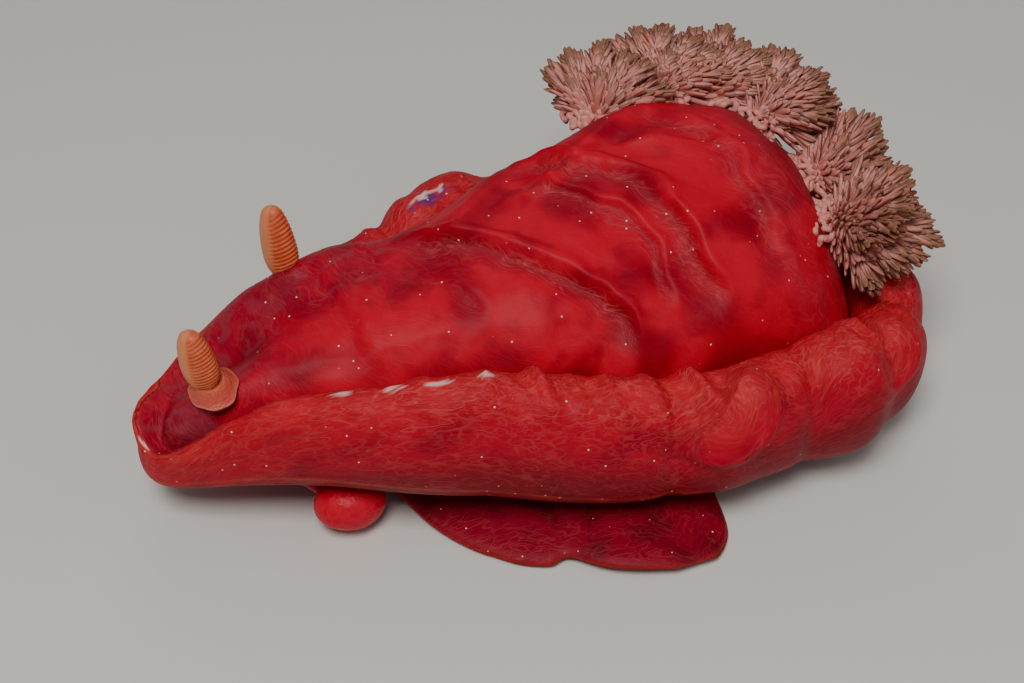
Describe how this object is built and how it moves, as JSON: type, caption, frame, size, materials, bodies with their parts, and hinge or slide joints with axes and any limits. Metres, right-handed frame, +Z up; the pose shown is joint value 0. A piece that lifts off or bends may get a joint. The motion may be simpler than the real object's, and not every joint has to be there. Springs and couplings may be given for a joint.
{
  "type": "spanish dancer nudibranch",
  "caption": "Large red sea slug crawling with its mantle edge rolled up, lamellate feelers on the head and a crown of branching gills at the rear.",
  "frame": {"origin": "on the floor, under the middle of the animal's bounding box", "axes": "-X towards the head, +X towards the tail, -Y the animal's left side, +Z up"},
  "size_m": [0.2456, 0.161, 0.0862],
  "materials": {
    "back_skin": "moist soft skin, deep crimson with paler folds",
    "mantle_skin": "moist soft skin, scarlet with fine wavy pale lines",
    "foot_skin": "smooth moist bright red skin",
    "rhinophore": "soft orange, finely layered",
    "gill": "soft pink with brown lines and tips"
  },
  "bodies": {
    "root": {"head": "back_skin", "back_front": "back_skin", "back_middle": "back_skin", "back_rear": "back_skin", "mantle_left_rear": "mantle_skin", "mantle_left_flank": "mantle_skin", "mantle_left_side": "mantle_skin", "mantle_left_front": "mantle_skin", "mantle_brim": "mantle_skin", "mantle_right_front": "mantle_skin", "mantle_right_side": "mantle_skin", "mantle_right_flank": "mantle_skin", "mantle_right_rear": "mantle_skin", "mantle_tail": "mantle_skin", "rhinophore_sheath_left": "mantle_skin", "rhinophore_sheath_right": "mantle_skin", "foot_front": "foot_skin", "foot_middle": "foot_skin", "foot_tail": "foot_skin", "oral_tentacle_left": "foot_skin", "oral_tentacle_right": "foot_skin", "mouth": "foot_skin", "rhinophore_left": "rhinophore", "rhinophore_right": "rhinophore", "gill_1": "gill", "gill_2": "gill", "gill_3": "gill", "gill_4": "gill", "gill_5": "gill", "gill_6": "gill"}
  },
  "joints": []
}
